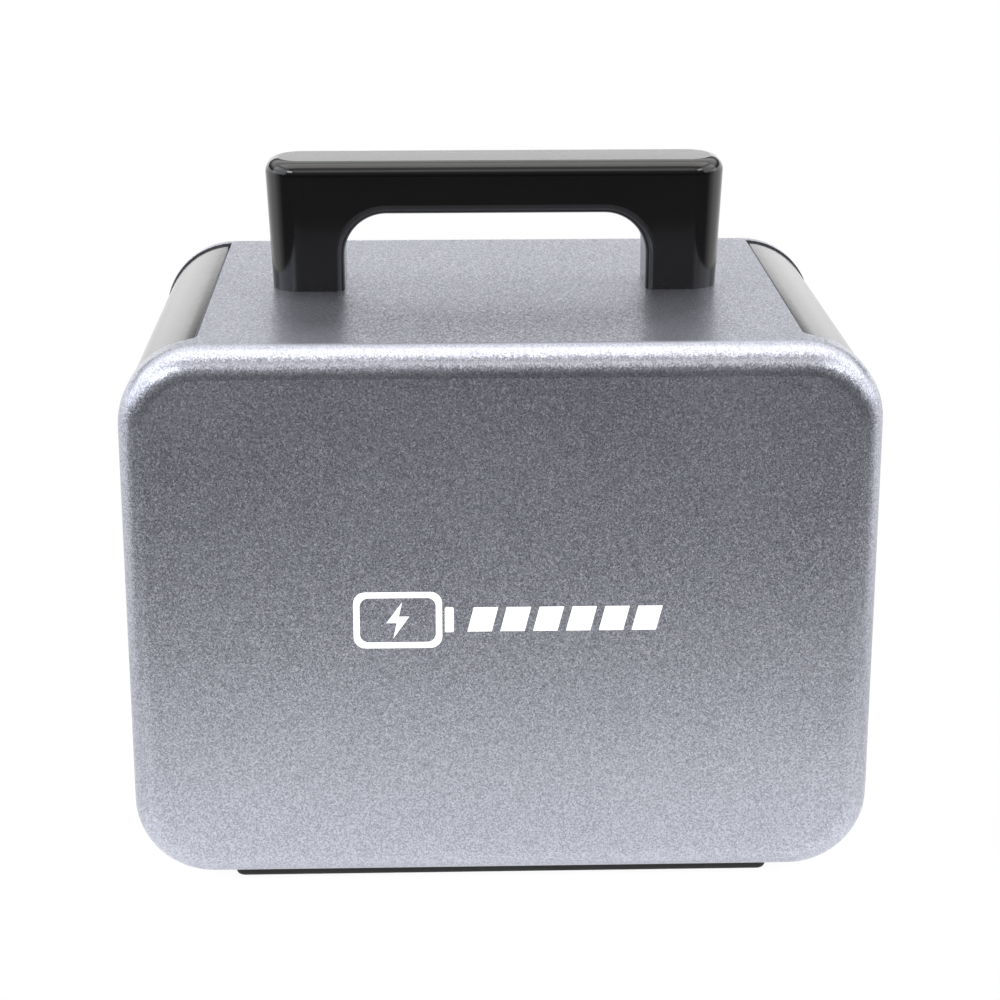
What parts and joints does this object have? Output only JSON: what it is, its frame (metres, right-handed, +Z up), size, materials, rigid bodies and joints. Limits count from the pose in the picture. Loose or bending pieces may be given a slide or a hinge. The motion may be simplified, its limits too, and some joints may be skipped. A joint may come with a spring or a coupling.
{
  "type": "power station",
  "caption": "Portable power station: metallic rounded case with gloss side panels, fixed carry handle, rubber bar feet, and a rear panel with sockets, buttons and a display.",
  "frame": {"origin": "centre of the bounding box's base, on the surface that the rubber feet stand on", "axes": "+Z up; -Y out of the plain face; +Y out of the control panel; +X to the right for someone looking at the plain face"},
  "size_m": [0.234, 0.168, 0.221],
  "materials": {
    "shell_paint": "satin",
    "side_gloss": "gloss",
    "handle_black": "satin",
    "foot_rubber": "matte",
    "panel_black": "satin",
    "screw_steel": "satin",
    "screw_black": "satin",
    "display_glass": "polished",
    "lcd": "gloss",
    "button_grey": "satin",
    "socket_black": "satin",
    "contact_brass": "satin",
    "clip_steel": "satin",
    "usb_steel": "satin",
    "usb_tongue": "satin",
    "jack_black": "satin",
    "cover_rubber": "matte",
    "cell_sleeve": "satin",
    "holder_black": "matte",
    "nickel": "satin",
    "insulator": "matte",
    "strap_tape": "matte",
    "tray_plastic": "matte",
    "pcb_green": "satin",
    "aluminium": "satin",
    "ferrite": "matte",
    "winding": "satin",
    "capacitor_sleeve": "satin",
    "lead_red": "satin",
    "lead_black": "satin",
    "fan_black": "satin"
  },
  "bodies": {
    "case": {"outer_shell": "shell_paint", "rear_frame": "shell_paint", "side_panel_left": "side_gloss", "side_panel_right": "side_gloss", "control_panel": "panel_black", "panel_screws": "screw_black", "handle_upper": "handle_black", "handle_lower": "handle_black", "handle_screws": "screw_steel", "foot_front": "foot_rubber", "foot_rear": "foot_rubber", "display_window": "display_glass", "lcd_module": "lcd", "port_board": "pcb_green", "board_standoffs": "contact_brass", "board_screws": "screw_steel", "tact_switches": "socket_black", "ac_socket_left": "socket_black", "ac_socket_right": "socket_black", "earth_clips": "clip_steel", "socket_contacts": "contact_brass", "car_socket": "socket_black", "car_socket_contact": "contact_brass", "panel_nuts": "screw_steel", "usb_a_ports": "usb_steel", "usb_a_tongues": "usb_tongue", "usb_c_port": "usb_steel", "dc_output_jacks": "jack_black", "input_jack": "jack_black", "cover_pins": "screw_steel", "battery_cells": "cell_sleeve", "cell_holder_front": "holder_black", "cell_holder_rear": "holder_black", "nickel_strips": "nickel", "pack_insulators": "insulator", "battery_tray": "tray_plastic", "battery_straps": "strap_tape", "bms_board": "pcb_green", "inverter_shelf": "aluminium", "inverter_board": "pcb_green", "heatsinks": "aluminium", "power_transistors": "socket_black", "transformer_core": "ferrite", "transformer_winding": "winding", "capacitors": "capacitor_sleeve", "choke_coil": "winding", "lead_positive": "lead_red", "lead_negative": "lead_black", "ac_wires": "lead_black", "dc_wires": "lead_red", "fan_frame_left": "fan_black", "fan_frame_right": "fan_black"},
    "ac_button": {"button_ac": "button_grey"},
    "dc_button": {"button_dc": "button_grey"},
    "usb_button": {"button_usb": "button_grey"},
    "display_button": {"button_display": "button_grey"},
    "input_flap": {"input_cover": "cover_rubber"},
    "dc_flap": {"dc_output_cover": "cover_rubber"},
    "fan_wheel_left": {"fan_rotor_left": "fan_black"},
    "fan_wheel_right": {"fan_rotor_right": "fan_black"}
  },
  "joints": [
    {"name": "ac_button_press", "type": "slide", "parent": "case", "child": "ac_button", "axis": [0, -1, 0], "range_m": [0, 0.0012], "stiffness_N_per_m": 800, "springref_m": -0.0004},
    {"name": "dc_button_press", "type": "slide", "parent": "case", "child": "dc_button", "axis": [0, -1, 0], "range_m": [0, 0.0012], "stiffness_N_per_m": 800, "springref_m": -0.0004},
    {"name": "usb_button_press", "type": "slide", "parent": "case", "child": "usb_button", "axis": [0, -1, 0], "range_m": [0, 0.0012], "stiffness_N_per_m": 800, "springref_m": -0.0004},
    {"name": "display_button_press", "type": "slide", "parent": "case", "child": "display_button", "axis": [0, -1, 0], "range_m": [0, 0.0012], "stiffness_N_per_m": 800, "springref_m": -0.0004},
    {"name": "input_flap_hinge", "type": "hinge", "parent": "case", "child": "input_flap", "pos_m": [0.066, 0.0829, 0.1545], "axis": [1, 0, 0], "range_deg": [0, 110]},
    {"name": "dc_flap_hinge", "type": "hinge", "parent": "case", "child": "dc_flap", "pos_m": [0.078, 0.0829, 0.0655], "axis": [1, 0, 0], "range_deg": [0, 110]},
    {"name": "fan_left_spin", "type": "hinge", "parent": "case", "child": "fan_wheel_left", "pos_m": [-0.1054, -0.036, 0.1315], "axis": [1, 0, 0], "continuous": true},
    {"name": "fan_right_spin", "type": "hinge", "parent": "case", "child": "fan_wheel_right", "pos_m": [0.1054, -0.036, 0.1315], "axis": [1, 0, 0], "continuous": true}
  ]
}
